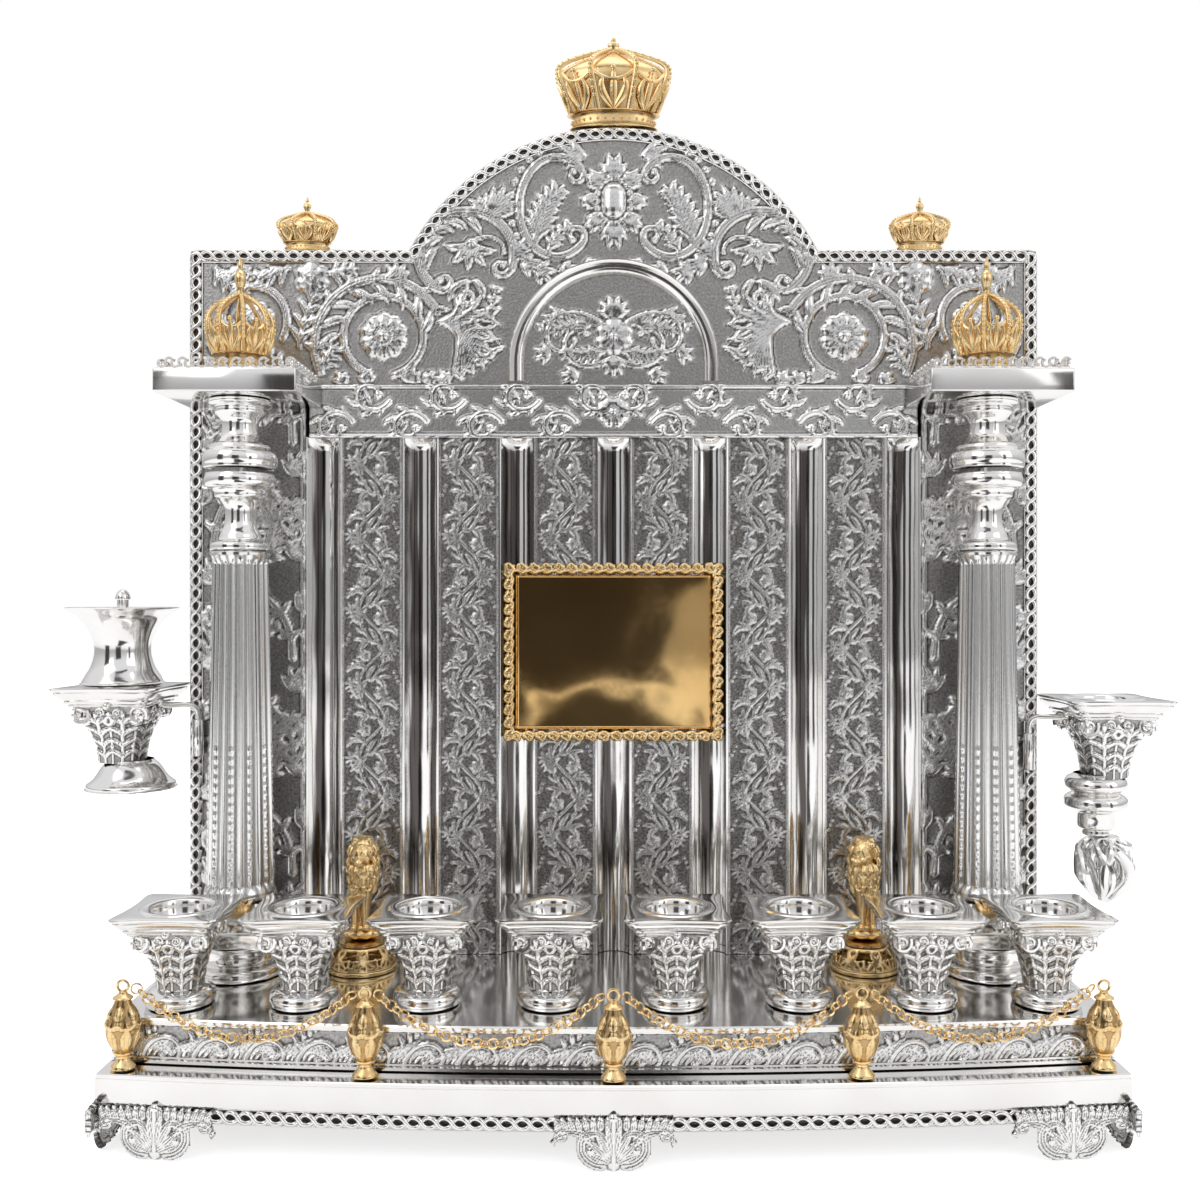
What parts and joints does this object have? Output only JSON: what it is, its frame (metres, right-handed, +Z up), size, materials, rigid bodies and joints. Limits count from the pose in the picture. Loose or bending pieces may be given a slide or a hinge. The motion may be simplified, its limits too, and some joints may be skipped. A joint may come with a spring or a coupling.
{
  "type": "menorah",
  "caption": "Bow-fronted menorah with a fluted, arched back wall, two crowned columns, capital-shaped oil cups in a row, chain swags and two lift-off side lamps.",
  "frame": {"origin": "centre of the whole object on the surface it stands on", "axes": "+X to the right as seen from the front, +Y to the back wall, +Z up"},
  "size_m": [0.541, 0.136, 0.527],
  "materials": {
    "silver_clad": "polished repousse silver sheet over a wooden core",
    "silver_cast": "cast silver, polished, darker in the recesses",
    "silver_border": "pierced rope strip in polished silver",
    "gold_cast": "gilt casting, satin with bright edges",
    "gold_plate": "polished gilt sheet",
    "gold_chain": "gilt wire links",
    "wood": "stained board"
  },
  "bodies": {
    "root": {"base_plinth": "silver_clad", "base_box": "silver_clad", "wall_panel": "silver_clad", "wall_back_cover": "silver_clad", "bottom_board": "wood", "base_rope_border": "silver_border", "wall_rope_border": "silver_border", "foot_front_left": "silver_cast", "foot_front_centre": "silver_cast", "foot_front_right": "silver_cast", "foot_back_left": "silver_cast", "foot_back_right": "silver_cast", "lunette_moulding": "silver_cast", "frieze_band": "silver_cast", "left_socket": "silver_cast", "right_socket": "silver_cast", "cup_1": "silver_cast", "cup_2": "silver_cast", "cup_3": "silver_cast", "cup_4": "silver_cast", "cup_5": "silver_cast", "cup_6": "silver_cast", "cup_7": "silver_cast", "cup_8": "silver_cast", "column_base_left": "silver_cast", "column_base_right": "silver_cast", "column_shaft_left": "silver_cast", "column_shaft_right": "silver_cast", "lower_capital_left": "silver_cast", "lower_capital_right": "silver_cast", "upper_capital_left": "silver_cast", "upper_capital_right": "silver_cast", "abacus_left": "silver_cast", "abacus_right": "silver_cast", "plaque_plate": "gold_plate", "plaque_frame": "gold_cast", "crown_top": "gold_cast", "crown_small_left": "gold_cast", "crown_small_right": "gold_cast", "column_crown_left": "gold_cast", "column_crown_right": "gold_cast", "lion_left": "gold_cast", "lion_right": "gold_cast", "lion_dome_left": "gold_cast", "lion_dome_right": "gold_cast", "urn_1": "gold_cast", "urn_2": "gold_cast", "urn_3": "gold_cast", "urn_4": "gold_cast", "urn_5": "gold_cast", "chain_1": "gold_chain", "chain_2": "gold_chain", "chain_3": "gold_chain", "chain_4": "gold_chain"},
    "left_lamp": {"left_holder": "silver_cast"},
    "burner": {"burner_vase": "silver_cast"},
    "wick": {"wick_tube": "silver_cast"},
    "right_lamp": {"right_holder": "silver_cast", "right_bud": "silver_cast"}
  },
  "joints": [
    {"name": "left_lamp_lift", "type": "slide", "parent": "root", "child": "left_lamp", "axis": [0, 0, 1], "range_m": [0, 0.03]},
    {"name": "burner_lift", "type": "slide", "parent": "left_lamp", "child": "burner", "axis": [0, 0, 1], "range_m": [0, 0.035]},
    {"name": "wick_lift", "type": "slide", "parent": "burner", "child": "wick", "axis": [0, 0, 1], "range_m": [0, 0.04]},
    {"name": "right_lamp_lift", "type": "slide", "parent": "root", "child": "right_lamp", "axis": [0, 0, 1], "range_m": [0, 0.03]}
  ]
}
